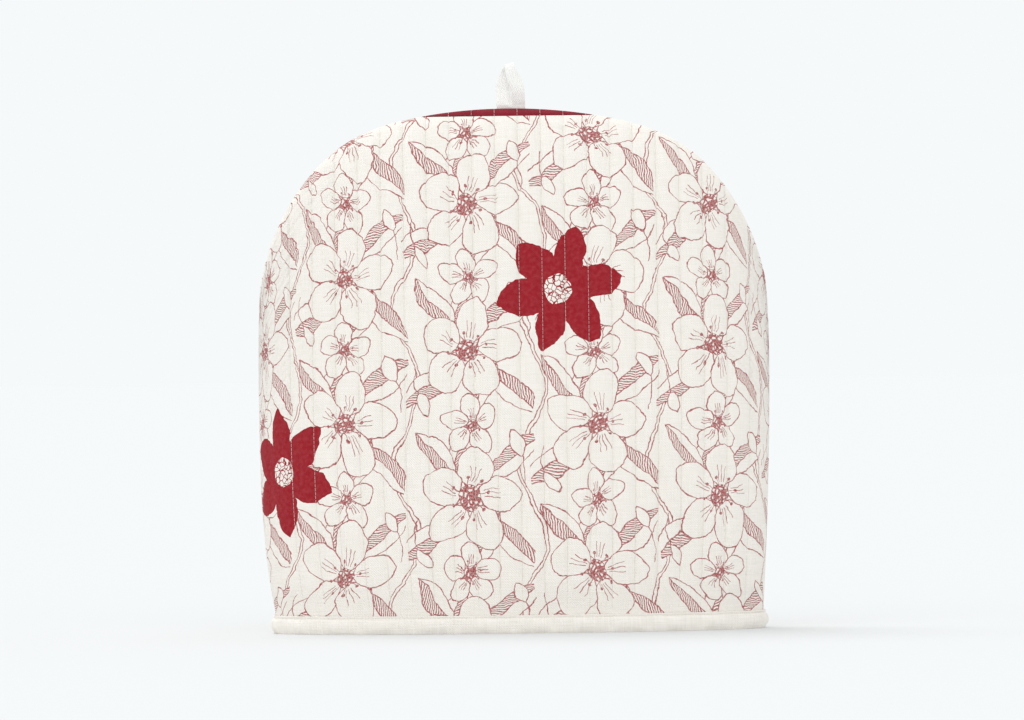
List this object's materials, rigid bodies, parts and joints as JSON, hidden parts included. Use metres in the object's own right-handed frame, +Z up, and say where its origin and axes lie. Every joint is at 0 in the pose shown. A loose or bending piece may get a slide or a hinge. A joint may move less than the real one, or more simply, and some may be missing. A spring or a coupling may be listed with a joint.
{
  "type": "quilted tea cosy",
  "caption": "Dome-topped quilted cloth tea cosy standing open on a bound hem, hollow inside, with a strip of red cloth pieced along the crest and a tape hanging loop.",
  "frame": {"origin": "on the surface that the hem rests on, under the middle of the cosy", "axes": "+Z up, the printed front towards -Y, +X to the right seen from the front, the hem resting on the plane z = 0"},
  "size_m": [0.338, 0.1252, 0.3753],
  "materials": {
    "printed_cotton": "unbleached plain-weave cotton, screen printed with fine red line flowers and a few solid red ones, quilted in upright channels",
    "printed_cotton_back": "the same unbleached cotton with the red line flowers, quilted in upright channels",
    "red_cotton": "plain-weave cotton in deep red, quilted with white thread",
    "cream_binding": "plain unbleached cotton folded over the edge, slightly puffed between its stitches",
    "cotton_tape": "twill-woven off-white cotton tape"
  },
  "bodies": {
    "root": {"front_panel": "printed_cotton", "back_panel": "printed_cotton_back", "crown_strip": "red_cotton", "hem_binding": "cream_binding", "hanging_loop": "cotton_tape"}
  },
  "joints": []
}
